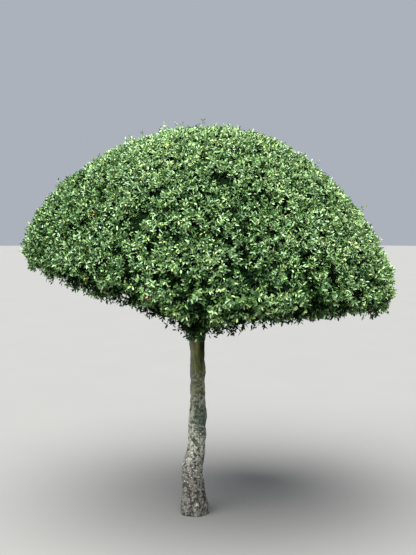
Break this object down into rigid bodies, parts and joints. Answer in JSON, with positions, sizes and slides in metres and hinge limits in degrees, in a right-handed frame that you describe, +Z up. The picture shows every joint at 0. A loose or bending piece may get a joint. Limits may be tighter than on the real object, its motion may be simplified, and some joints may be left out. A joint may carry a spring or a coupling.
{
  "type": "dome-clipped standard evergreen tree",
  "caption": "Evergreen tree clipped to a broad dome on a bare trunk with a flared foot; its boughs fan out in an open hollow under the leaves.",
  "frame": {"origin": "middle of the flat cut that ends the trunk at ground level", "axes": "+Z up, +X to the right of someone who faces the tree as in the picture, +Y away from them"},
  "size_m": [1.8918, 1.8939, 2.0482],
  "materials": {
    "bark": "rough grey-green bark with pale flecks",
    "bough_bark": "smoother olive-brown bark",
    "foliage": "small glossy evergreen leaves"
  },
  "bodies": {
    "root": {"trunk": "bark", "leader": "bough_bark", "bough_right": "bough_bark", "side_limb_right": "bough_bark", "bough_back_right": "bough_bark", "side_limb_back_right": "bough_bark", "bough_back_left": "bough_bark", "side_limb_back_left": "bough_bark", "bough_left": "bough_bark", "side_limb_left": "bough_bark", "bough_front_left": "bough_bark", "side_limb_front_left": "bough_bark", "bough_front_right": "bough_bark", "side_limb_front_right": "bough_bark", "crown": "foliage"}
  },
  "joints": []
}
